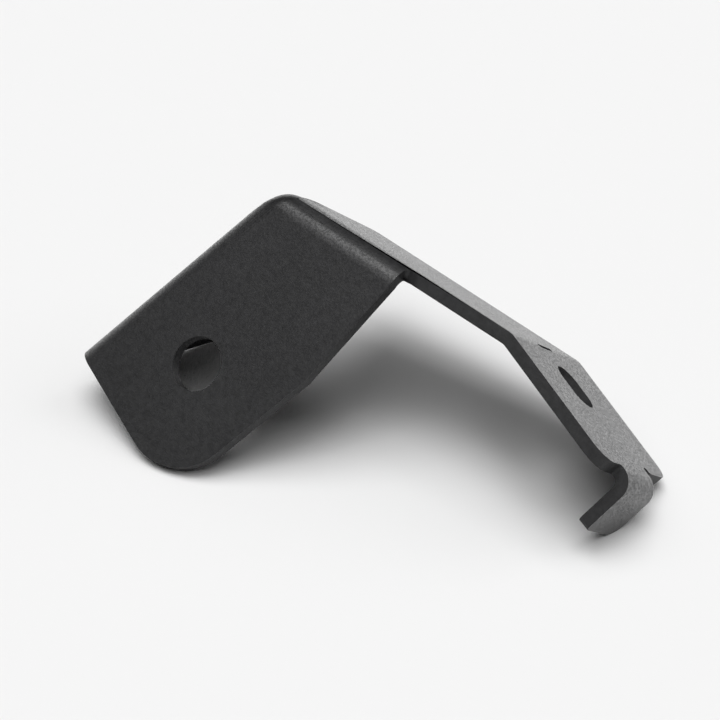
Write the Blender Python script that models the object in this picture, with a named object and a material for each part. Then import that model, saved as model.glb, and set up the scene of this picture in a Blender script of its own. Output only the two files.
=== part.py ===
"""Antenna bracket folded from one piece of 3 mm sheet steel.

The bracket is made the way a press shop makes it: a flat blank is cut to its
outline, the stud hole, slot and relief slit are punched, and the blank is then
folded along its four bend lines.  It lies on a level surface as it would when
put down: on the plate's rounded corner, the hook and the side wall.

Blank coordinates are measured on the outer skin.  X runs along the main fold,
towards the hook.  Y runs across the arm, away from the hanging plate, and is
zero where the main fold starts.  Units are metres and +Z is up at rest.
"""

import math

import bmesh
import bpy
from mathutils import Matrix, Vector

# Sheet and folds
SHEET_THICKNESS = 0.0030
BEND_RADIUS = 0.0030            # inside radius of the main, side and arm folds
HOOK_BEND_RADIUS = 0.0015       # inside radius of the tighter hook fold
MAIN_FOLD_ANGLE = math.radians(86.0)
SIDE_FOLD_ANGLE = math.radians(90.0)
ARM_FOLD_ANGLE = math.radians(19.0)
HOOK_FOLD_ANGLE = math.radians(87.0)

# Hanging plate
PLATE_SLANT = math.radians(20.0)        # lean of the plate's sides, square to its end
PLATE_WIDTH = 0.0390                    # flat part, free side to side fold
PLATE_LENGTH = 0.0586                   # main fold to end, along the side fold
PLATE_CORNER_RADIUS = 0.0155
NECK_SLANT = math.radians(10.2)         # lean of the neck's free side below the main fold
NECK_DROP = 0.02881373752               # main fold to the kink in the free side
STUD_HOLE_DIAMETER = 0.0130
STUD_HOLE_TO_END = 0.0230
STUD_HOLE_TO_SIDE_FOLD = 0.0180

# Side wall behind the plate
WALL_END_DEPTH = 0.0165                 # from the plate's face, at the plate's end
WALL_FOOT_DEPTH = 0.0520                # deepest point, where the wall meets the ground
WALL_FOOT_SETBACK = 0.0335              # plate's end to the deepest point
WALL_TOP_SETBACK = 0.0130               # main fold to the wall's top edge
WALL_FOOT_RADIUS = 0.0090
WALL_END_RADIUS = 0.0030
CORNER_RELIEF_RADIUS = 0.0135           # round cut between the arm and the wall

# Arm
ARM_WIDTH = 0.0400
ARM_NEAR_OVERHANG = 0.0028              # near edge beyond the start of the main fold
ARM_END_LEAN = math.radians(7.4)        # lean of the arm's free end
ARM_END_SETBACK = 0.0019                # arm's far end corner, short of the side fold's start
ARM_LEVEL_LENGTH = 0.0294               # plate's free side to the arm fold
ARM_SLOPE_LENGTH = 0.0359               # arm fold to hook fold
NECK_FILLET_RADIUS = 0.0010
NECK_BLEND = 0.0045                     # the fold fades out along the arm's near edge
END_CORNER_RADIUS = 0.0025

# Slot and slit
SLOT_LENGTH = 0.0122
SLOT_WIDTH = 0.0084
SLOT_FROM_FOLD = 0.0046                 # arm fold to the slot's near end
SLOT_FROM_EDGE = 0.0154                 # arm's near edge to the slot's side
SLIT_LENGTH = 0.0076
SLIT_WIDTH = 0.0012
SLIT_FROM_EDGE = 0.0152                 # arm's near edge to the slit's end

# Shoulders and hook
SHOULDER_SETBACK = 0.0011               # shoulders stop short of the hook fold
NEAR_SHOULDER_RADIUS = 0.0050
FAR_SHOULDER_RADIUS = 0.0045
FAR_SHOULDER_WIDTH = 0.0103             # relief notch to the arm's far edge
HOOK_FROM_EDGE = 0.0094                 # arm's near edge to the hook
HOOK_LEG_LENGTH = 0.0106                # straight part below the hook fold
HOOK_NEAR_RADIUS = 0.0012
HOOK_FAR_RADIUS = 0.0042
HOOK_RELIEF_WIDTH = 0.0040              # notch beside the hook, on the far side
HOOK_RELIEF_DEPTH = 0.0026              # notch behind the hook fold
INNER_CORNER_RADIUS = 0.0008

# Finish of the cut edges
EDGE_BREAK = 0.00030
ARC_STEP = math.radians(9.0)
FOLD_STEP = math.radians(7.5)
STUD_HOLE_STEPS = 48
NECK_STEPS = 6
HALF_ROUND = 0.4999                     # a hair under half, so that the ends stay two arcs
SHARP_EDGE = math.radians(50.0)
SMOOTH_LIMIT = math.radians(35.0)
FLAT_LIMIT = math.radians(0.2)

# The way that the bracket leans when it is put down, in blank directions
RESTING_UP = Vector((-0.151, -0.636, 0.757))


def outer_radius(inner):
    """Radius of a fold on its outer skin."""
    return inner + SHEET_THICKNESS


def fold_length(angle, inner):
    """Length of a fold along its outer skin."""
    return outer_radius(inner) * angle


MAIN_ROLL = fold_length(MAIN_FOLD_ANGLE, BEND_RADIUS)
SIDE_ROLL = fold_length(SIDE_FOLD_ANGLE, BEND_RADIUS)
ARM_ROLL = fold_length(ARM_FOLD_ANGLE, BEND_RADIUS)
HOOK_ROLL = fold_length(HOOK_FOLD_ANGLE, HOOK_BEND_RADIUS)

# Free side to side fold along the main fold: the plate's width, less what the neck takes
MAIN_FOLD_LENGTH = (
    PLATE_WIDTH / math.cos(PLATE_SLANT)
    - NECK_DROP * (math.tan(PLATE_SLANT) - math.tan(NECK_SLANT))
)

# The side fold's start line, from where it leaves the main fold
SIDE_START = Vector((-MAIN_FOLD_LENGTH, -MAIN_ROLL))
SIDE_DOWN = Vector((-math.sin(PLATE_SLANT), -math.cos(PLATE_SLANT)))
SIDE_OUT = Vector((-math.cos(PLATE_SLANT), math.sin(PLATE_SLANT)))

SLOPE_START = ARM_LEVEL_LENGTH + ARM_ROLL
HOOK_START = SLOPE_START + ARM_SLOPE_LENGTH


def beside_fold(down, out):
    """Blank point a distance down and outwards from the side fold's start."""
    return SIDE_START + SIDE_DOWN * down + SIDE_OUT * out


def wall_out(depth):
    """Blank distance beyond the side fold for a depth behind the plate's face."""
    return SIDE_ROLL + depth - outer_radius(BEND_RADIUS)


def crossing(point_a, along_a, point_b, along_b):
    """Where two lines of the blank cross."""
    between = point_b - point_a
    share = between.cross(along_b) / along_a.cross(along_b)
    return point_a + along_a * share


def rounded_outline(corners):
    """Closed outline whose corners, given with their radii, are true arcs."""
    outline = []
    count = len(corners)
    for index, (corner, radius) in enumerate(corners):
        to_last = (corners[index - 1][0] - corner).normalized()
        to_next = (corners[(index + 1) % count][0] - corner).normalized()
        opening = to_last.angle(to_next)
        if radius <= 0.0 or abs(math.pi - opening) < math.radians(1.0):
            outline.append(corner.copy())
            continue
        tangent = radius / math.tan(opening / 2.0)
        bisector = (to_last + to_next).normalized()
        centre = corner + bisector * (radius / math.sin(opening / 2.0))
        first = corner + to_last * tangent - centre
        sweep = math.pi - opening
        if first.cross(corner + to_next * tangent - centre) < 0.0:
            sweep = -sweep
        steps = max(2, math.ceil(abs(sweep) / ARC_STEP))
        for step in range(steps + 1):
            turn = Matrix.Rotation(sweep * step / steps, 2)
            outline.append(centre + turn @ first)
    return outline


def blank_outline():
    """Outline of the flat blank, anticlockwise from the neck."""
    near = -ARM_NEAR_OVERHANG
    far = near + ARM_WIDTH
    shoulder = HOOK_START - SHOULDER_SETBACK
    hook_near = near + HOOK_FROM_EDGE
    notch_far = far - FAR_SHOULDER_WIDTH
    hook_far = notch_far - HOOK_RELIEF_WIDTH
    hook_tip = HOOK_START + HOOK_ROLL + HOOK_LEG_LENGTH
    notch_end = HOOK_START - HOOK_RELIEF_DEPTH

    # the plate's free side: a neck below the main fold, then the long side
    neck_top = Vector((0.0, -MAIN_ROLL))
    neck_along = Vector((-math.sin(NECK_SLANT), -math.cos(NECK_SLANT)))
    free_side = beside_fold(0.0, -PLATE_WIDTH)
    kink = crossing(neck_top, neck_along, free_side, SIDE_DOWN)
    end_right = beside_fold(PLATE_LENGTH, -PLATE_WIDTH)

    # the arm's free end, then the round relief down to the wall's top edge
    end_far = Vector((ARM_END_SETBACK - MAIN_FOLD_LENGTH, far))
    end_along = Vector((-math.sin(ARM_END_LEAN), -math.cos(ARM_END_LEAN)))
    wall_top = beside_fold(WALL_TOP_SETBACK, 0.0)
    relief = crossing(end_far, end_along, wall_top, SIDE_OUT)

    foot_down = PLATE_LENGTH - WALL_FOOT_SETBACK
    foot_out = wall_out(WALL_FOOT_DEPTH)
    corners = [
        (Vector((0.0, near)), NECK_FILLET_RADIUS),
        (Vector((shoulder, near)), NEAR_SHOULDER_RADIUS),
        (Vector((shoulder, hook_near)), INNER_CORNER_RADIUS),
        (Vector((hook_tip, hook_near)), HOOK_NEAR_RADIUS),
        (Vector((hook_tip, hook_far)), HOOK_FAR_RADIUS),
        (Vector((notch_end, hook_far)), INNER_CORNER_RADIUS),
        (Vector((notch_end, notch_far)), INNER_CORNER_RADIUS),
        (Vector((shoulder, notch_far)), INNER_CORNER_RADIUS),
        (Vector((shoulder, far)), FAR_SHOULDER_RADIUS),
        (end_far, END_CORNER_RADIUS),
        (relief, CORNER_RELIEF_RADIUS),
        (beside_fold(WALL_TOP_SETBACK, foot_out), WALL_FOOT_RADIUS),
        (beside_fold(foot_down, foot_out), WALL_FOOT_RADIUS),
        (beside_fold(PLATE_LENGTH, wall_out(WALL_END_DEPTH)), WALL_END_RADIUS),
        (end_right, PLATE_CORNER_RADIUS),
        (kink, 0.0),
        (neck_top, 0.0),
    ]
    return rounded_outline(corners)


def slot_outline():
    """Outline of the slot, with round ends."""
    near = SLOPE_START + SLOT_FROM_FOLD
    side = SLOT_FROM_EDGE - ARM_NEAR_OVERHANG
    return obround(near, side, SLOT_LENGTH, SLOT_WIDTH)


def slit_outline():
    """Outline of the relief slit, which lies across the arm on its fold."""
    middle = ARM_LEVEL_LENGTH + ARM_ROLL / 2.0
    side = SLIT_FROM_EDGE - ARM_NEAR_OVERHANG
    return obround(middle - SLIT_WIDTH / 2.0, side, SLIT_WIDTH, SLIT_LENGTH)


def obround(low_x, low_y, size_x, size_y):
    """Rectangle whose short ends are half circles."""
    high_x = low_x + size_x
    high_y = low_y + size_y
    radius = HALF_ROUND * min(size_x, size_y)
    corners = [(low_x, low_y), (high_x, low_y), (high_x, high_y), (low_x, high_y)]
    return rounded_outline([(Vector(corner), radius) for corner in corners])


def stud_hole_outline():
    """Outline of the round stud hole in the plate."""
    centre = beside_fold(PLATE_LENGTH - STUD_HOLE_TO_END, -STUD_HOLE_TO_SIDE_FOLD)
    ring = []
    for step in range(STUD_HOLE_STEPS):
        angle = 2.0 * math.pi * step / STUD_HOLE_STEPS
        ring.append(centre + Vector((math.cos(angle), math.sin(angle))) * STUD_HOLE_DIAMETER / 2.0)
    return ring


def prism(name, outline, bottom, top):
    """Object with a straight-sided solid over a flat outline."""
    shape = bmesh.new()
    ring = [shape.verts.new((point.x, point.y, top)) for point in outline]
    cap = shape.faces.new(ring)
    pushed = bmesh.ops.extrude_face_region(shape, geom=[cap])
    moved = [item for item in pushed["geom"] if isinstance(item, bmesh.types.BMVert)]
    bmesh.ops.translate(shape, verts=moved, vec=(0.0, 0.0, bottom - top))
    bmesh.ops.recalc_face_normals(shape, faces=shape.faces)
    mesh = bpy.data.meshes.new(name)
    shape.to_mesh(mesh)
    shape.free()
    item = bpy.data.objects.new(name, mesh)
    bpy.context.scene.collection.objects.link(item)
    return item


def applied_mesh(item):
    """Mesh of an object with its modifiers applied."""
    depsgraph = bpy.context.evaluated_depsgraph_get()
    return bpy.data.meshes.new_from_object(item.evaluated_get(depsgraph))


def punched_blank():
    """Flat blank with the stud hole, slot and slit cut through it."""
    blank = prism("blank", blank_outline(), -SHEET_THICKNESS, 0.0)
    punches = []
    for name, outline in (("stud_punch", stud_hole_outline()),
                          ("slot_punch", slot_outline()),
                          ("slit_punch", slit_outline())):
        punch = prism(name, outline, -2.0 * SHEET_THICKNESS, SHEET_THICKNESS)
        punch.display_type = "WIRE"
        punch.hide_render = True
        cut = blank.modifiers.new(name, "BOOLEAN")
        cut.operation = "DIFFERENCE"
        cut.solver = "EXACT"
        cut.object = punch
        punches.append(punch)
    mesh = applied_mesh(blank)
    for item in punches + [blank]:
        bpy.data.objects.remove(item)
    return mesh


def cut_across(shape, point, normal, wanted):
    """Cut the chosen faces along a plane that stands on the blank."""
    faces = [face for face in shape.faces if wanted(face.calc_center_median())]
    edges = {edge for face in faces for edge in face.edges}
    verts = {vert for face in faces for vert in face.verts}
    bmesh.ops.bisect_plane(
        shape,
        geom=faces + list(edges) + list(verts),
        dist=1e-7,
        plane_co=(point.x, point.y, 0.0),
        plane_no=(normal.x, normal.y, 0.0),
    )


def fold_stations(length, angle):
    """Even steps along a fold, with both of its ends."""
    steps = max(2, math.ceil(angle / FOLD_STEP))
    return [length * step / steps for step in range(steps + 1)]


def side_place(point):
    """How far a blank point is down and beyond the side fold."""
    offset = Vector((point.x, point.y)) - SIDE_START
    return offset.dot(SIDE_DOWN), offset.dot(SIDE_OUT)


def everywhere(centre):
    """Every face."""
    return True


def on_plate(centre):
    """Whether a face belongs to the plate's side of the main fold."""
    return centre.y < 0.0 and centre.x < ARM_LEVEL_LENGTH / 2.0


def on_main_roll(centre):
    """Whether a face is one that the main fold bends."""
    return centre.y < 0.0 and centre.x < NECK_BLEND * 1.01


def beside_neck(centre):
    """Whether a face is in the strip where the main fold fades out."""
    return -ARM_NEAR_OVERHANG * 1.01 < centre.y < 0.0 and centre.x > -NECK_BLEND


def add_fold_lines(shape):
    """Cut the blank where its folds start, turn and end."""
    along_x = Vector((1.0, 0.0))
    along_y = Vector((0.0, 1.0))
    cut_across(shape, Vector((0.0, 0.0)), along_y, everywhere)
    for step in range(NECK_STEPS + 1):
        cut_across(shape, Vector((NECK_BLEND * step / NECK_STEPS, 0.0)), along_x, beside_neck)
    for place in fold_stations(MAIN_ROLL, MAIN_FOLD_ANGLE)[1:]:
        cut_across(shape, Vector((0.0, -place)), along_y, on_main_roll)
    for place in fold_stations(ARM_ROLL, ARM_FOLD_ANGLE):
        cut_across(shape, Vector((ARM_LEVEL_LENGTH + place, 0.0)), along_x, everywhere)
    for place in fold_stations(HOOK_ROLL, HOOK_FOLD_ANGLE):
        cut_across(shape, Vector((HOOK_START + place, 0.0)), along_x, everywhere)
    cut_across(shape, SIDE_START, SIDE_DOWN, on_plate)
    for place in fold_stations(SIDE_ROLL, SIDE_FOLD_ANGLE):
        cut_across(shape, beside_fold(0.0, place), SIDE_OUT, on_plate)


def folded(along, height, angle, radius):
    """Where a point beyond the start of a fold goes, and its height there."""
    if along <= 0.0:
        return along, height
    turn = min(along / radius, angle)
    rest = along - radius * turn
    reach = radius + height
    return (
        reach * math.sin(turn) + rest * math.cos(turn),
        reach * math.cos(turn) - radius - rest * math.sin(turn),
    )


def fade(share):
    """Smooth step from one down to zero."""
    share = min(max(share, 0.0), 1.0)
    return 1.0 - share * share * (3.0 - 2.0 * share)


def fold_point(point):
    """Folded place of a blank point."""
    x, y, height = point
    long_radius = outer_radius(BEND_RADIUS)
    if y >= 0.0 or x > NECK_BLEND:
        along, height = folded(x - HOOK_START, height, HOOK_FOLD_ANGLE, outer_radius(HOOK_BEND_RADIUS))
        along, height = folded(
            along + HOOK_START - ARM_LEVEL_LENGTH, height, ARM_FOLD_ANGLE, long_radius)
        return Vector((along + ARM_LEVEL_LENGTH, y, height))

    # the side fold comes first, and fades out within the main fold above its start
    down, out = side_place(point)
    if out > 0.0:
        strength = fade(-down / (MAIN_ROLL * math.cos(PLATE_SLANT)))
        moved, height = folded(out * strength, height, SIDE_FOLD_ANGLE, long_radius)
        shift = SIDE_OUT * (moved - out * strength)
        x += shift.x
        y += shift.y
    along, turned = folded(-y, height, MAIN_FOLD_ANGLE, long_radius)
    strength = fade(x / NECK_BLEND)
    return Vector((x, y + (-along - y) * strength, height + (turned - height) * strength))


def resting_matrix(mesh):
    """Turn and move that lay the folded sheet on level ground, centred on its box."""
    hull = bmesh.new()
    hull.from_mesh(mesh)
    bmesh.ops.convex_hull(hull, input=hull.verts)
    hull.normal_update()
    foot = min(hull.faces, key=lambda face: face.normal.dot(RESTING_UP.normalized()))
    up = -foot.normal
    level = foot.calc_center_median().dot(up)
    hull.free()
    forward = (Vector((1.0, 0.0, 0.0)) - up * up.x).normalized()
    turn = Matrix((forward, up.cross(forward), up))
    places = [turn @ vert.co for vert in mesh.vertices]
    middle = [(min(p[axis] for p in places) + max(p[axis] for p in places)) / 2.0 for axis in (0, 1)]
    return Matrix.Translation((-middle[0], -middle[1], -level)) @ turn.to_4x4()


def powder_coat():
    """Fine matt black powder coat over steel."""
    material = bpy.data.materials.new("black_powder_coat")
    material.use_nodes = True
    shader = material.node_tree.nodes["Principled BSDF"]
    shader.inputs["Base Color"].default_value = (0.022, 0.022, 0.024, 1.0)
    shader.inputs["Roughness"].default_value = 0.48
    shader.inputs["Metallic"].default_value = 0.0
    return material


def make_bracket():
    """Fold the punched blank and lay it down."""
    shape = bmesh.new()
    shape.from_mesh(punched_blank())
    add_fold_lines(shape)
    for vert in shape.verts:
        vert.co = fold_point(vert.co)
    bmesh.ops.dissolve_limit(
        shape, angle_limit=FLAT_LIMIT, verts=shape.verts, edges=shape.edges)
    bmesh.ops.recalc_face_normals(shape, faces=shape.faces)
    mesh = bpy.data.meshes.new("bracket")
    shape.to_mesh(mesh)
    shape.free()
    mesh.transform(resting_matrix(mesh))
    bracket = bpy.data.objects.new("bracket", mesh)
    bpy.context.scene.collection.objects.link(bracket)
    rounding = bracket.modifiers.new("edge_break", "BEVEL")
    rounding.width = EDGE_BREAK
    rounding.segments = 2
    rounding.limit_method = "ANGLE"
    rounding.angle_limit = SHARP_EDGE
    mesh.materials.append(powder_coat())
    mesh.shade_smooth()
    mesh.set_sharp_from_angle(angle=SMOOTH_LIMIT)
    return bracket


def main():
    for item in list(bpy.data.objects):
        bpy.data.objects.remove(item)
    make_bracket()


main()
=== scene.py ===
"""Looks of a folded sheet-metal antenna bracket that lies on a pale studio floor.

The bracket is one sheet.  It is drawn as a flat blank, punched, folded along its
four lines, given softly broken edges and dressed in fine black powder coat.
Blank coordinates are measured on the outer skin: X runs along the main fold
towards the hook, and Y across the arm, away from the hanging plate.
All lengths are metres.
"""

import logging
import math
from collections.abc import Callable
from dataclasses import dataclass, field
from enum import Enum

import bmesh
import bpy
from mathutils import Matrix, Vector


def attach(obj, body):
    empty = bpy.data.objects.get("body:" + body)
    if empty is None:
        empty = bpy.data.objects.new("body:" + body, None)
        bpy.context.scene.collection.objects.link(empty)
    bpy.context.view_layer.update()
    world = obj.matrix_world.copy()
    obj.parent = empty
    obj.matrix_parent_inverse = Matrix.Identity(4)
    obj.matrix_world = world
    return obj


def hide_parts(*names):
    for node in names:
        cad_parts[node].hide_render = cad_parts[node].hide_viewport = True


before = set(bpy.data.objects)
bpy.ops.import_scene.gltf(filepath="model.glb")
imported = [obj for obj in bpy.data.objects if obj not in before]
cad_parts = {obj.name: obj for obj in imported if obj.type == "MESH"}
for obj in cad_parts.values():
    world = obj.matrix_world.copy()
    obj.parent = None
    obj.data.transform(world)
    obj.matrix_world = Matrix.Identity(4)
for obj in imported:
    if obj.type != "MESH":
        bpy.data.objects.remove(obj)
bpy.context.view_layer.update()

LOG = logging.getLogger("bracket")
Corner = tuple[Vector, float]
Span = tuple[float, float]
Triple = tuple[float, float, float]
FacePick = Callable[[Vector], bool]

# A hair past a limit, so that a face that ends on it still counts.
JUST_PAST = 1.01
# A hair under half, so that the round end of a slot stays two arcs.
HALF_ROUND = 0.4999
# Points nearer than this to a cutting plane lie on it.
ON_PLANE = 1e-7


class Surface(Enum):
    """Which part of the sheet a face belongs to."""

    OUTER = 0
    CUT = 1
    INNER = 2


def new_group(name: str, inputs: dict[str, float], outputs: dict[str, str]) -> bpy.types.NodeTree:
    """Start a shader node group.

    Args:
        name: name of the group.
        inputs: value sockets and what they hold by default.
        outputs: output sockets and their socket types.

    Returns:
        The group, with its input and output nodes in place.
    """
    group = bpy.data.node_groups.new(name, "ShaderNodeTree")
    for label, value in inputs.items():
        socket = group.interface.new_socket(name=label, in_out="INPUT", socket_type="NodeSocketFloat")
        socket.default_value = value
    for label, kind in outputs.items():
        group.interface.new_socket(name=label, in_out="OUTPUT", socket_type=kind)
    group.nodes.new("NodeGroupInput").name = "in"
    group.nodes.new("NodeGroupOutput").name = "out"
    return group


def add_node(tree: bpy.types.NodeTree, kind: str, **values: object) -> bpy.types.Node:
    """Add a node and set its plain properties.

    Args:
        tree: node tree that gets the node.
        kind: Blender's name of the node type.
        **values: properties of the node.

    Returns:
        The new node.
    """
    node = tree.nodes.new(kind)
    for key, value in values.items():
        setattr(node, key, value)
    return node


def noise(tree: bpy.types.NodeTree, place: bpy.types.NodeSocket, scale: bpy.types.NodeSocket,
          detail: float) -> bpy.types.NodeSocket:
    """Noise over a place.

    Args:
        tree: node tree that gets the node.
        place: vector output that the noise reads.
        scale: output with the cells per metre.
        detail: how many finer layers are added.

    Returns:
        The noise's value, about 0 to 1.
    """
    node = add_node(tree, "ShaderNodeTexNoise")
    node.inputs["Detail"].default_value = detail
    tree.links.new(scale, node.inputs["Scale"])
    tree.links.new(place, node.inputs["Vector"])
    return node.outputs["Fac"]


def arithmetic(tree: bpy.types.NodeTree, operation: str, *terms: bpy.types.NodeSocket | float,
               clamp: bool = False) -> bpy.types.NodeSocket:
    """Math node over sockets and numbers.

    Args:
        tree: node tree that gets the node.
        operation: Blender's name of the operation.
        *terms: sockets or numbers, in order.
        clamp: whether the result stays from 0 to 1.

    Returns:
        The node's output.
    """
    node = add_node(tree, "ShaderNodeMath", operation=operation, use_clamp=clamp)
    for index, term in enumerate(terms):
        if isinstance(term, (int, float)):
            node.inputs[index].default_value = term
        else:
            tree.links.new(term, node.inputs[index])
    return node.outputs[0]


def remap(tree: bpy.types.NodeTree, value: bpy.types.NodeSocket, source: Span, target: Span,
          curve: str = "LINEAR") -> bpy.types.NodeSocket:
    """Stretch one span of values over another.

    Args:
        tree: node tree that gets the node.
        value: output that is stretched.
        source: lowest and highest value read.
        target: what they become.
        curve: Blender's name of the way between them.

    Returns:
        The stretched value.
    """
    node = add_node(tree, "ShaderNodeMapRange", interpolation_type=curve)
    node.inputs["From Min"].default_value, node.inputs["From Max"].default_value = source
    node.inputs["To Min"].default_value, node.inputs["To Max"].default_value = target
    tree.links.new(value, node.inputs["Value"])
    return node.outputs["Result"]


def powder_group() -> bpy.types.NodeTree:
    """Grain of a powder coat: fine pimples on a slow ripple, with uneven gloss.

    Returns:
        Group with the outputs Height, Gloss, Speckle and Tone.
    """
    group = new_group(
        "powder_grain",
        {"Pimple Scale": 1850.0, "Ripple Scale": 420.0, "Cloud Scale": 55.0, "Pimple Share": 0.55},
        {"Height": "NodeSocketFloat", "Gloss": "NodeSocketFloat", "Speckle": "NodeSocketFloat",
         "Tone": "NodeSocketFloat"},
    )
    source = group.nodes["in"].outputs
    place = add_node(group, "ShaderNodeTexCoord").outputs["Object"]
    pimple = noise(group, place, source["Pimple Scale"], detail=2.0)
    ripple = noise(group, place, source["Ripple Scale"], detail=1.0)
    cloud = noise(group, place, source["Cloud Scale"], detail=3.0)
    fine = arithmetic(group, "MULTIPLY", pimple, source["Pimple Share"])
    slow_share = arithmetic(group, "SUBTRACT", 1.0, source["Pimple Share"])
    slow = arithmetic(group, "MULTIPLY", ripple, slow_share)
    half_pimple, half_cloud = (arithmetic(group, "MULTIPLY", part, 0.5) for part in (pimple, cloud))
    sink = group.nodes["out"].inputs
    group.links.new(arithmetic(group, "ADD", fine, slow), sink["Height"])
    group.links.new(arithmetic(group, "ADD", half_pimple, half_cloud), sink["Gloss"])
    group.links.new(pimple, sink["Speckle"])
    group.links.new(cloud, sink["Tone"])
    return group


def edge_group() -> bpy.types.NodeTree:
    """Painted highlight on the sheet's edges that stand out: there the coat gets a lighter colour, as if
    the edges caught the light.

    Returns:
        Group with the output Mask, 1 where an edge gets the painted highlight.
    """
    group = new_group("edge_highlight", {"Low": 0.52, "High": 0.62, "Breakup Scale": 700.0},
                      {"Mask": "NodeSocketFloat"})
    source = group.nodes["in"].outputs
    point = add_node(group, "ShaderNodeNewGeometry").outputs["Pointiness"]
    place = add_node(group, "ShaderNodeTexCoord").outputs["Object"]
    broken = noise(group, place, source["Breakup Scale"], detail=3.0)
    span = arithmetic(group, "SUBTRACT", source["High"], source["Low"])
    above = arithmetic(group, "SUBTRACT", point, source["Low"])
    share = arithmetic(group, "DIVIDE", above, span, clamp=True)
    mask = arithmetic(group, "MULTIPLY", share, broken, clamp=True)
    group.links.new(mask, group.nodes["out"].inputs["Mask"])
    return group


@dataclass(frozen=True)
class PowderCoat:
    """Fine matt powder coat over steel.

    The spans named source are the part of the grain's noise that is stretched over
    the roughness and over the gloss.
    """

    name: str
    dark: Triple = (0.0036, 0.0036, 0.0041)
    light: Triple = (0.0056, 0.0056, 0.0062)
    # Lighter colour for the edges that stand out: a painted highlight where the edges would catch the
    # light.
    painted_edge_highlight: Triple = (0.030, 0.030, 0.031)
    roughness: Span = (0.40, 0.52)
    roughness_source: Span = (0.30, 0.70)
    speckle_source: Span = (0.42, 0.58)
    gloss_weight: float = 0.71
    speckle: float = 0.62
    gloss_roughness: float = 0.27
    gloss_ior: float = 1.40
    ior: float = 1.40
    pimple_scale: float = 1850.0
    ripple_scale: float = 420.0
    pimple_share: float = 0.55
    bump_height: float = 0.00012

    def material(self, grain: bpy.types.NodeTree, edge_shine: bpy.types.NodeTree) -> bpy.types.Material:
        """Build the coat's material.

        Args:
            grain: the powder_grain group.
            edge_shine: the group that masks the painted highlight on the edges.

        Returns:
            The material.
        """
        made = bpy.data.materials.new(self.name)
        made.use_nodes = True
        tree = made.node_tree
        shader = tree.nodes["Principled BSDF"]
        shader.inputs["IOR"].default_value = self.ior
        shader.inputs["Coat Roughness"].default_value = self.gloss_roughness
        shader.inputs["Coat IOR"].default_value = self.gloss_ior
        powder = add_node(tree, "ShaderNodeGroup", node_tree=grain)
        powder.inputs["Pimple Scale"].default_value = self.pimple_scale
        powder.inputs["Ripple Scale"].default_value = self.ripple_scale
        powder.inputs["Pimple Share"].default_value = self.pimple_share
        edge = add_node(tree, "ShaderNodeGroup", node_tree=edge_shine)

        tone = add_node(tree, "ShaderNodeMix", data_type="RGBA")
        tone.inputs["A"].default_value = (*self.dark, 1.0)
        tone.inputs["B"].default_value = (*self.light, 1.0)
        tree.links.new(powder.outputs["Tone"], tone.inputs["Factor"])
        # Painted highlight: the edges that stand out are mixed towards the lighter edge colour.
        shine_mix = add_node(tree, "ShaderNodeMix", data_type="RGBA")
        shine_mix.inputs["B"].default_value = (*self.painted_edge_highlight, 1.0)
        tree.links.new(edge.outputs["Mask"], shine_mix.inputs["Factor"])
        tree.links.new(tone.outputs["Result"], shine_mix.inputs["A"])
        tree.links.new(shine_mix.outputs["Result"], shader.inputs["Base Color"])

        roughness = remap(tree, powder.outputs["Gloss"], self.roughness_source, self.roughness)
        tree.links.new(roughness, shader.inputs["Roughness"])
        if self.gloss_weight > 0.0:
            target = (self.gloss_weight * (1.0 - self.speckle), self.gloss_weight * (1.0 + self.speckle))
            gloss = remap(tree, powder.outputs["Speckle"], self.speckle_source, target)
            tree.links.new(gloss, shader.inputs["Coat Weight"])

        bump = add_node(tree, "ShaderNodeBump")
        bump.inputs["Distance"].default_value = self.bump_height
        tree.links.new(powder.outputs["Height"], bump.inputs["Height"])
        tree.links.new(bump.outputs["Normal"], shader.inputs["Normal"])
        return made


@dataclass(frozen=True)
class Fold:
    """One bend of the sheet, measured along its outer skin."""

    angle: float
    inner_radius: float
    sheet: float = 0.0030

    @property
    def radius(self) -> float:
        """Outer radius."""
        return self.inner_radius + self.sheet

    @property
    def length(self) -> float:
        """Length along the outer skin."""
        return self.radius * self.angle

    def stations(self, step: float) -> list[float]:
        """Even places along the fold, with both ends.

        Args:
            step: widest turn between two places.

        Returns:
            Distances from the fold's start.
        """
        count = max(2, math.ceil(self.angle / step))
        return [self.length * index / count for index in range(count + 1)]

    def bend(self, along: float, height: float) -> tuple[float, float]:
        """Where a point beyond the fold's start goes.

        Args:
            along: distance beyond the start.
            height: height over the outer skin, negative in the sheet.

        Returns:
            The new distance and height.
        """
        if along <= 0.0:
            return along, height
        turn = min(along / self.radius, self.angle)
        rest = along - self.radius * turn
        reach = self.radius + height
        return (
            reach * math.sin(turn) + rest * math.cos(turn),
            reach * math.cos(turn) - self.radius - rest * math.sin(turn),
        )


def rounded_outline(corners: list[Corner], step: float) -> list[Vector]:
    """Closed outline whose corners are true arcs.

    Args:
        corners: corner points with their radii.
        step: widest turn between two points of an arc.

    Returns:
        The outline's points.
    """
    outline = []
    for index, (corner, radius) in enumerate(corners):
        to_last = (corners[index - 1][0] - corner).normalized()
        to_next = (corners[(index + 1) % len(corners)][0] - corner).normalized()
        opening = to_last.angle(to_next)
        if radius <= 0.0:
            outline.append(corner.copy())
            continue
        tangent = radius / math.tan(opening / 2.0)
        centre = corner + (to_last + to_next).normalized() * (radius / math.sin(opening / 2.0))
        first = corner + to_last * tangent - centre
        sweep = math.pi - opening
        if first.cross(corner + to_next * tangent - centre) < 0.0:
            sweep = -sweep
        count = max(2, math.ceil(abs(sweep) / step))
        turns = [sweep * part / count for part in range(count + 1)]
        outline += [centre + Matrix.Rotation(turn, 2) @ first for turn in turns]
    return outline


def crossing(point_a: Vector, along_a: Vector, point_b: Vector, along_b: Vector) -> Vector:
    """Where two lines of the blank cross."""
    return point_a + along_a * ((point_b - point_a).cross(along_b) / along_a.cross(along_b))


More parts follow.
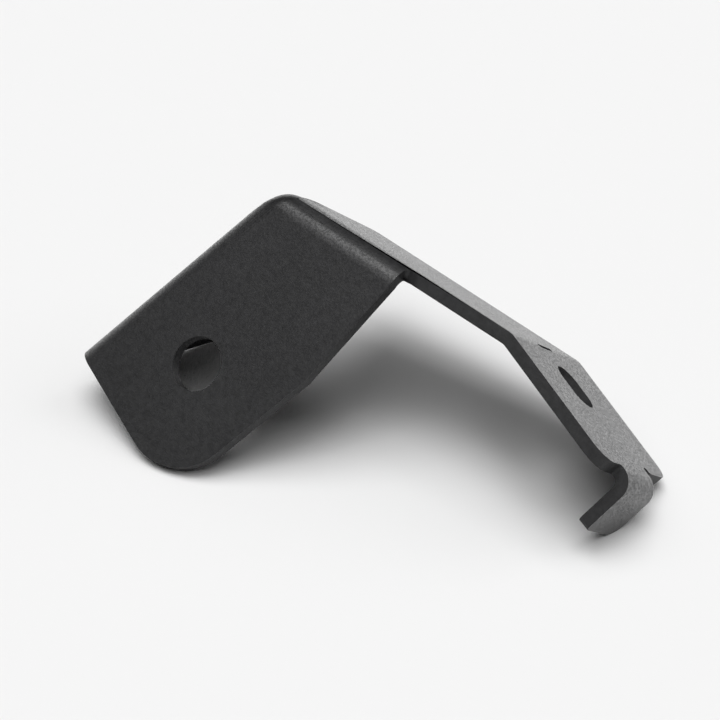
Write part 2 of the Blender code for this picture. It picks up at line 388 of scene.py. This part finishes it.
def smooth_fade(share: float) -> float:
    """Smooth step from one down to zero."""
    share = min(max(share, 0.0), 1.0)
    return 1.0 - share * share * (3.0 - 2.0 * share)


@dataclass(frozen=True)
class Plate:
    """The hanging plate with its stud hole."""

    slant: float = math.radians(20.0)
    width: float = 0.0390
    length: float = 0.0586
    corner_radius: float = 0.0155
    neck_slant: float = math.radians(10.2)
    fold_length: float = 0.0362
    hole_diameter: float = 0.0130
    hole_to_end: float = 0.0230
    hole_to_side: float = 0.0180


@dataclass(frozen=True)
class Wall:
    """The side wall that is folded back behind the plate."""

    end_depth: float = 0.0165
    foot_depth: float = 0.0520
    foot_setback: float = 0.0335
    top_setback: float = 0.0130
    foot_radius: float = 0.0084
    end_radius: float = 0.0030
    relief_radius: float = 0.0135


@dataclass(frozen=True)
class Arm:
    """The arm with its slot, slit and rounded shoulders."""

    width: float = 0.0400
    near_overhang: float = 0.0028
    end_lean: float = math.radians(7.4)
    back_length: float = 0.0343
    level_length: float = 0.0294
    slope_length: float = 0.0359
    neck_fillet: float = 0.0010
    neck_blend: float = 0.0045
    end_radius: float = 0.0025
    slot_length: float = 0.0122
    slot_width: float = 0.0084
    slot_from_fold: float = 0.0046
    slot_from_edge: float = 0.0154
    slit_length: float = 0.0076
    slit_width: float = 0.0012
    slit_from_edge: float = 0.0152
    shoulder_setback: float = 0.0011
    near_shoulder_radius: float = 0.0050
    far_shoulder_radius: float = 0.0045


@dataclass(frozen=True)
class Hook:
    """The tab that is folded down at the arm's end."""

    from_edge: float = 0.0094
    width: float = 0.0163
    leg_length: float = 0.0106
    near_radius: float = 0.0012
    far_radius: float = 0.0042
    relief_width: float = 0.0021
    relief_depth: float = 0.0026
    inner_radius: float = 0.0008


@dataclass
class Bracket:
    """The whole folded sheet."""

    sheet: float = 0.0030
    plate: Plate = field(default_factory=Plate)
    wall: Wall = field(default_factory=Wall)
    arm: Arm = field(default_factory=Arm)
    hook: Hook = field(default_factory=Hook)
    main_fold: Fold = Fold(math.radians(86.0), 0.0030)
    side_fold: Fold = Fold(math.radians(90.0), 0.0030)
    arm_fold: Fold = Fold(math.radians(19.0), 0.0030)
    hook_fold: Fold = Fold(math.radians(87.0), 0.0015)
    corner_fade: float = 0.0216
    edge_break: float = 0.00032
    edge_segments: int = 3
    sharp_edge: float = math.radians(50.0)
    flat_limit: float = math.radians(0.1)
    upright_limit: float = 0.5
    arc_step: float = math.radians(4.5)
    fold_step: float = math.radians(3.0)
    hole_steps: int = 96
    neck_steps: int = 10
    corner_steps: int = 12
    resting_up: Vector = field(default_factory=lambda: Vector((-0.158169329, -0.626772285, 0.762980223)))
    resting_shift: Vector = field(default_factory=lambda: Vector((0.002060581, 0.0117017552, 0.044219)))
    side_start: Vector = field(init=False)
    side_down: Vector = field(init=False)
    side_out: Vector = field(init=False)
    slope_start: float = field(init=False)
    hook_start: float = field(init=False)

    def __post_init__(self) -> None:
        """Work out the places that several outlines share."""
        slant = self.plate.slant
        self.side_start = Vector((-self.plate.fold_length, -self.main_fold.length))
        self.side_down = Vector((-math.sin(slant), -math.cos(slant)))
        self.side_out = Vector((-math.cos(slant), math.sin(slant)))
        self.slope_start = self.arm.level_length + self.arm_fold.length
        self.hook_start = self.slope_start + self.arm.slope_length

    def beside_fold(self, down: float, out: float) -> Vector:
        """Blank point a distance down and outwards from the side fold's start."""
        return self.side_start + self.side_down * down + self.side_out * out

    def wall_out(self, depth: float) -> float:
        """Blank distance beyond the side fold for a depth behind the plate."""
        return self.side_fold.length + depth - self.side_fold.radius

    def outline(self) -> list[Vector]:
        """Draw the flat blank, anticlockwise from the neck.

        Returns:
            The points of its outline.
        """
        arm, hook, plate, wall = self.arm, self.hook, self.plate, self.wall
        near = -arm.near_overhang
        far = near + arm.width
        shoulder = self.hook_start - arm.shoulder_setback
        hook_near = near + hook.from_edge
        hook_far = hook_near + hook.width
        hook_tip = self.hook_start + self.hook_fold.length + hook.leg_length
        notch_far = hook_far + hook.relief_width
        notch_end = self.hook_start - hook.relief_depth

        neck_top = Vector((0.0, -self.main_fold.length))
        neck_along = Vector((-math.sin(plate.neck_slant), -math.cos(plate.neck_slant)))
        kink = crossing(neck_top, neck_along, self.beside_fold(0.0, -plate.width), self.side_down)
        end_far = Vector((-arm.back_length, far))
        end_along = Vector((-math.sin(arm.end_lean), -math.cos(arm.end_lean)))
        relief = crossing(end_far, end_along, self.beside_fold(wall.top_setback, 0.0), self.side_out)
        foot_out = self.wall_out(wall.foot_depth)
        return rounded_outline([
            (Vector((0.0, near)), arm.neck_fillet),
            (Vector((shoulder, near)), arm.near_shoulder_radius),
            (Vector((shoulder, hook_near)), hook.inner_radius),
            (Vector((hook_tip, hook_near)), hook.near_radius),
            (Vector((hook_tip, hook_far)), hook.far_radius),
            (Vector((notch_end, hook_far)), hook.inner_radius),
            (Vector((notch_end, notch_far)), hook.inner_radius),
            (Vector((shoulder, notch_far)), hook.inner_radius),
            (Vector((shoulder, far)), arm.far_shoulder_radius),
            (end_far, arm.end_radius),
            (relief, wall.relief_radius),
            (self.beside_fold(wall.top_setback, foot_out), wall.foot_radius),
            (self.beside_fold(plate.length - wall.foot_setback, foot_out), wall.foot_radius),
            (self.beside_fold(plate.length, self.wall_out(wall.end_depth)), wall.end_radius),
            (self.beside_fold(plate.length, -plate.width), plate.corner_radius),
            (kink, 0.0),
            (neck_top, 0.0),
        ], self.arc_step)

    def obround(self, low_x: float, low_y: float, size_x: float, size_y: float) -> list[Vector]:
        """Draw a rectangle whose short ends are half circles.

        Args:
            low_x: lowest place along the main fold.
            low_y: lowest place across the arm.
            size_x: size along the main fold.
            size_y: size across the arm.

        Returns:
            The points of its outline.
        """
        high_x, high_y = low_x + size_x, low_y + size_y
        radius = HALF_ROUND * min(size_x, size_y)
        corners = [(low_x, low_y), (high_x, low_y), (high_x, high_y), (low_x, high_y)]
        return rounded_outline([(Vector(corner), radius) for corner in corners], self.arc_step)

    def punches(self) -> dict[str, list[Vector]]:
        """Draw what is punched out of the blank.

        Returns:
            Outlines of the stud hole, slot and slit.
        """
        arm, plate = self.arm, self.plate
        centre = self.beside_fold(plate.length - plate.hole_to_end, -plate.hole_to_side)
        spoke = Vector((plate.hole_diameter / 2.0, 0.0))
        ring = [
            centre + Matrix.Rotation(math.tau * index / self.hole_steps, 2) @ spoke
            for index in range(self.hole_steps)
        ]
        slit_low = arm.level_length + (self.arm_fold.length - arm.slit_width) / 2.0
        slot_low = self.slope_start + arm.slot_from_fold
        return {
            "stud_hole": ring,
            "slot": self.obround(slot_low, arm.slot_from_edge - arm.near_overhang,
                                 arm.slot_length, arm.slot_width),
            "slit": self.obround(slit_low, arm.slit_from_edge - arm.near_overhang,
                                 arm.slit_width, arm.slit_length),
        }

    def fold_point(self, point: Vector) -> Vector:
        """Folded place of a blank point.

        Args:
            point: place in the blank, with its height over the outer skin.

        Returns:
            Its place in the folded sheet.
        """
        x, y, height = point
        arm = self.arm
        offset = Vector((x, y)) - self.side_start
        down, out = offset.dot(self.side_down), offset.dot(self.side_out)
        if out > 0.0 and x < 0.0:
            strength = smooth_fade(-down / self.corner_fade)
            moved, height = self.side_fold.bend(out * strength, height)
            shift = self.side_out * (moved - out * strength)
            x += shift.x
            y += shift.y
            if point.y >= 0.0:
                return Vector((x, y, height))
        if y >= 0.0 or x > arm.neck_blend:
            along, height = self.hook_fold.bend(x - self.hook_start, height)
            along, height = self.arm_fold.bend(along + self.hook_start - arm.level_length, height)
            return Vector((along + arm.level_length, y, height))
        along, turned = self.main_fold.bend(-y, height)
        strength = smooth_fade(x / arm.neck_blend)
        return Vector((x, y + (-along - y) * strength, height + (turned - height) * strength))

    def resting_place(self) -> Matrix:
        """Lay the folded sheet on the floor.

        Returns:
            The turn and shift that do so.
        """
        up = self.resting_up.normalized()
        forward = (Vector((1.0, 0.0, 0.0)) - up * up.x).normalized()
        return Matrix.Translation(self.resting_shift) @ Matrix((forward, up.cross(forward), up)).to_4x4()

    def cut_fold_lines(self, shape: bmesh.types.BMesh) -> None:
        """Cut the blank where its folds start, turn and end.

        Args:
            shape: the blank's mesh.
        """
        along_x, along_y = Vector((1.0, 0.0)), Vector((0.0, 1.0))
        arm = self.arm

        def everywhere(centre: Vector) -> bool:
            """Every face."""
            return True

        def on_left(centre: Vector) -> bool:
            """Faces on the plate and at the arm's free end."""
            return centre.x < 0.0

        def at_corner(centre: Vector) -> bool:
            """Faces of the corner over the side fold."""
            return centre.x < -self.plate.fold_length / 2.0

        def beside_neck(centre: Vector) -> bool:
            """Faces of the strip where the main fold fades out."""
            return -arm.near_overhang * JUST_PAST < centre.y < 0.0 and centre.x > -arm.neck_blend

        def on_main_roll(centre: Vector) -> bool:
            """Faces that the main fold bends."""
            return centre.y < 0.0 and centre.x < arm.neck_blend * JUST_PAST

        cut_across(shape, Vector((0.0, 0.0)), along_y, everywhere)
        for index in range(self.neck_steps + 1):
            place = arm.neck_blend * index / self.neck_steps
            cut_across(shape, Vector((place, 0.0)), along_x, beside_neck)
        for place in self.main_fold.stations(self.fold_step)[1:]:
            cut_across(shape, Vector((0.0, -place)), along_y, on_main_roll)
        for place in self.arm_fold.stations(self.fold_step):
            cut_across(shape, Vector((arm.level_length + place, 0.0)), along_x, everywhere)
        for place in self.hook_fold.stations(self.fold_step):
            cut_across(shape, Vector((self.hook_start + place, 0.0)), along_x, everywhere)
        cut_across(shape, self.side_start, self.side_down, on_left)
        for index in range(1, self.corner_steps + 1):
            place = -self.corner_fade * index / self.corner_steps
            cut_across(shape, self.beside_fold(place, 0.0), self.side_down, at_corner)
        for place in self.side_fold.stations(self.fold_step):
            cut_across(shape, self.beside_fold(0.0, place), self.side_out, on_left)

    def build(self) -> bpy.types.Object:
        """Punch and fold the sheet, and lay it down.

        Returns:
            The bracket's object.
        """
        blank = prism("blank", self.outline(), -self.sheet, 0.0)
        tools = []
        for name, outline in self.punches().items():
            tool = prism(name, outline, -2.0 * self.sheet, self.sheet)
            cut = blank.modifiers.new(name, "BOOLEAN")
            cut.operation = "DIFFERENCE"
            cut.solver = "EXACT"
            cut.object = tool
            tools.append(tool)
        depsgraph = bpy.context.evaluated_depsgraph_get()
        shape = bmesh.new()
        shape.from_mesh(bpy.data.meshes.new_from_object(blank.evaluated_get(depsgraph)))
        for item in tools + [blank]:
            bpy.data.objects.remove(item)
        self.cut_fold_lines(shape)
        for face in shape.faces:
            if abs(face.normal.z) < self.upright_limit:
                face.material_index = Surface.CUT.value
            else:
                face.material_index = (Surface.OUTER if face.normal.z > 0.0 else Surface.INNER).value
        place = self.resting_place()
        for vert in shape.verts:
            vert.co = place @ self.fold_point(vert.co)
        bmesh.ops.dissolve_limit(shape, angle_limit=self.flat_limit, verts=shape.verts,
                                 edges=shape.edges, delimit={"MATERIAL"})
        bmesh.ops.recalc_face_normals(shape, faces=shape.faces)
        mesh = bpy.data.meshes.new("folded_sheet")
        shape.to_mesh(mesh)
        shape.free()
        piece = bpy.data.objects.new("folded_sheet", mesh)
        bpy.context.scene.collection.objects.link(piece)
        mesh.shade_smooth()
        rounding = piece.modifiers.new("edge_break", "BEVEL")
        rounding.width = self.edge_break
        rounding.segments = self.edge_segments
        rounding.limit_method = "ANGLE"
        rounding.angle_limit = self.sharp_edge
        rounding.material = Surface.CUT.value
        weights = piece.modifiers.new("face_weights", "WEIGHTED_NORMAL")
        weights.keep_sharp = False
        return piece

    def dress(self, piece: bpy.types.Object, grain: bpy.types.NodeTree, edge_shine: bpy.types.NodeTree) -> None:
        """Give the skins and the cut edges their coat.

        Args:
            piece: the bracket's object.
            grain: the powder_grain group.
            edge_shine: the group that masks the painted highlight on the edges.
        """
        coats = {
            Surface.OUTER: PowderCoat("powder_coat_outside"),
            Surface.CUT: PowderCoat("powder_coat_cut_edge", roughness=(0.55, 0.68), gloss_weight=0.1),
            Surface.INNER: PowderCoat("powder_coat_inside", roughness=(0.55, 0.65), gloss_weight=0.0),
        }
        for surface in Surface:
            piece.data.materials.append(coats[surface].material(grain, edge_shine))
        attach(piece, "root")
        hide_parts("bracket")


def prism(name: str, outline: list[Vector], bottom: float, top: float) -> bpy.types.Object:
    """Straight-sided solid over a flat outline.

    Args:
        name: name of the object.
        outline: points of the outline.
        bottom: height of the lower face.
        top: height of the upper face.

    Returns:
        The object.
    """
    shape = bmesh.new()
    cap = shape.faces.new([shape.verts.new((point.x, point.y, top)) for point in outline])
    pushed = bmesh.ops.extrude_face_region(shape, geom=[cap])
    moved = [item for item in pushed["geom"] if isinstance(item, bmesh.types.BMVert)]
    bmesh.ops.translate(shape, verts=moved, vec=(0.0, 0.0, bottom - top))
    bmesh.ops.recalc_face_normals(shape, faces=shape.faces)
    mesh = bpy.data.meshes.new(name)
    shape.to_mesh(mesh)
    shape.free()
    item = bpy.data.objects.new(name, mesh)
    bpy.context.scene.collection.objects.link(item)
    return item


def cut_across(shape: bmesh.types.BMesh, point: Vector, normal: Vector, wanted: FacePick) -> None:
    """Cut the chosen faces along a plane that stands on the blank.

    Args:
        shape: the blank's mesh.
        point: point on the plane.
        normal: the plane's normal in the blank.
        wanted: says of a face's centre whether the face is cut.
    """
    faces = [face for face in shape.faces if wanted(face.calc_center_median())]
    edges = dict.fromkeys(edge for face in faces for edge in face.edges)
    verts = dict.fromkeys(vert for face in faces for vert in face.verts)
    bmesh.ops.bisect_plane(shape, geom=[*faces, *edges, *verts], dist=ON_PLANE,
                           plane_co=(point.x, point.y, 0.0), plane_no=(normal.x, normal.y, 0.0))


@dataclass(frozen=True)
class Skylight:
    """A far, wide lamp, placed by its turn round the room and its tilt from straight overhead."""

    name: str
    turn: float
    tilt: float
    strength: float
    spread: float = math.radians(45.0)

    def build(self) -> bpy.types.Object:
        """Hang the lamp.

        Returns:
            The lamp's object.
        """
        data = bpy.data.lights.new(self.name, "SUN")
        data.angle = self.spread
        data.energy = self.strength
        lamp = bpy.data.objects.new(self.name, data)
        lamp.rotation_euler = (0.0, self.tilt, self.turn)
        bpy.context.scene.collection.objects.link(lamp)
        return lamp


@dataclass
class Studio:
    """Pale floor, soft light and camera.

    The camera and shiny surfaces see the wall and the ceiling.  The fill is the
    world's light on everything else.
    """

    floor_size: float = 12.0
    floor_tone: float = 0.815
    floor_roughness: float = 0.9
    wall: float = 0.92
    wall_top: float = 0.20
    ceiling: float = 0.05
    fill: float = 0.03
    ceiling_start: float = 0.36
    lens: float = 107.8346
    sensor: float = 36.0
    clip: Span = (0.01, 50.0)
    eye: Triple = (0.27281370, -0.30059902, 0.30250729)
    forward: Triple = (-0.55896968, 0.60678915, -0.56511918)
    right: Triple = (0.73984230, 0.67271355, -0.00947428)
    lamps: tuple[Skylight, ...] = (
        Skylight("overhead", 0.0, 0.0, 1.56),
        Skylight("front", math.radians(-47.3), math.radians(25.0), 1.32),
        Skylight("left", math.radians(-137.7), math.radians(25.0), 0.38),
        Skylight("right", math.radians(42.3), math.radians(50.0), 0.56),
    )

    def build_floor(self) -> bpy.types.Object:
        """Lay the floor.

        Returns:
            The floor's object.
        """
        shape = bmesh.new()
        bmesh.ops.create_grid(shape, x_segments=1, y_segments=1, size=self.floor_size / 2.0)
        mesh = bpy.data.meshes.new("floor")
        shape.to_mesh(mesh)
        shape.free()
        floor = bpy.data.objects.new("floor", mesh)
        bpy.context.scene.collection.objects.link(floor)
        made = bpy.data.materials.new("pale_floor")
        made.use_nodes = True
        shader = made.node_tree.nodes["Principled BSDF"]
        shader.inputs["Base Color"].default_value = (*[self.floor_tone] * 3, 1.0)
        shader.inputs["Roughness"].default_value = self.floor_roughness
        shader.inputs["Specular IOR Level"].default_value = 0.0
        mesh.materials.append(made)
        return floor

    def build_world(self) -> None:
        """Surround the floor with a low white wall under a dim ceiling."""
        world = bpy.data.worlds.new("studio")
        bpy.context.scene.world = world
        world.use_nodes = True
        tree = world.node_tree
        surface = tree.nodes["Background"]
        surface.inputs["Color"].default_value = (1.0, 1.0, 1.0, 1.0)
        direction = add_node(tree, "ShaderNodeTexCoord").outputs["Generated"]
        split = add_node(tree, "ShaderNodeSeparateXYZ")
        tree.links.new(direction, split.inputs["Vector"])
        tone = remap(tree, split.outputs["Z"], (self.wall_top, self.ceiling_start),
                     (self.wall, self.ceiling), curve="SMOOTHSTEP")
        path = add_node(tree, "ShaderNodeLightPath")
        seen = arithmetic(tree, "MAXIMUM", path.outputs["Is Camera Ray"], path.outputs["Is Glossy Ray"])
        seen = arithmetic(tree, "MAXIMUM", seen, path.outputs["Is Transmission Ray"])
        strength = add_node(tree, "ShaderNodeMix")
        strength.inputs["A"].default_value = self.fill
        tree.links.new(seen, strength.inputs["Factor"])
        tree.links.new(tone, strength.inputs["B"])
        tree.links.new(strength.outputs["Result"], surface.inputs["Strength"])

    def build_camera(self) -> bpy.types.Object:
        """Set up the camera of the view.

        Returns:
            The camera's object.
        """
        data = bpy.data.cameras.new("camera")
        data.lens = self.lens
        data.sensor_width = self.sensor
        data.clip_start, data.clip_end = self.clip
        camera = bpy.data.objects.new("camera", data)
        back = -Vector(self.forward).normalized()
        side = Vector(self.right).normalized()
        up = back.cross(side)
        turned = Matrix((side, up, back)).transposed()
        camera.matrix_world = Matrix.Translation(self.eye) @ turned.to_4x4()
        bpy.context.scene.collection.objects.link(camera)
        bpy.context.scene.camera = camera
        return camera

    def build(self) -> None:
        """Put the whole studio together."""
        self.build_floor()
        self.build_world()
        for lamp in self.lamps:
            lamp.build()
        self.build_camera()
        bpy.context.scene.view_settings.view_transform = "Standard"


def main() -> None:
    """Build the bracket and its studio, and log how many faces the bracket has."""
    logging.basicConfig(level=logging.INFO, format="%(name)s: %(message)s")
    grain, edge_shine = powder_group(), edge_group()
    bracket = Bracket()
    piece = bracket.build()
    bracket.dress(piece, grain, edge_shine)
    LOG.info("%s: %d faces before its edges are broken", piece.name, len(piece.data.polygons))
    Studio().build()


if __name__ == "__main__":
    main()
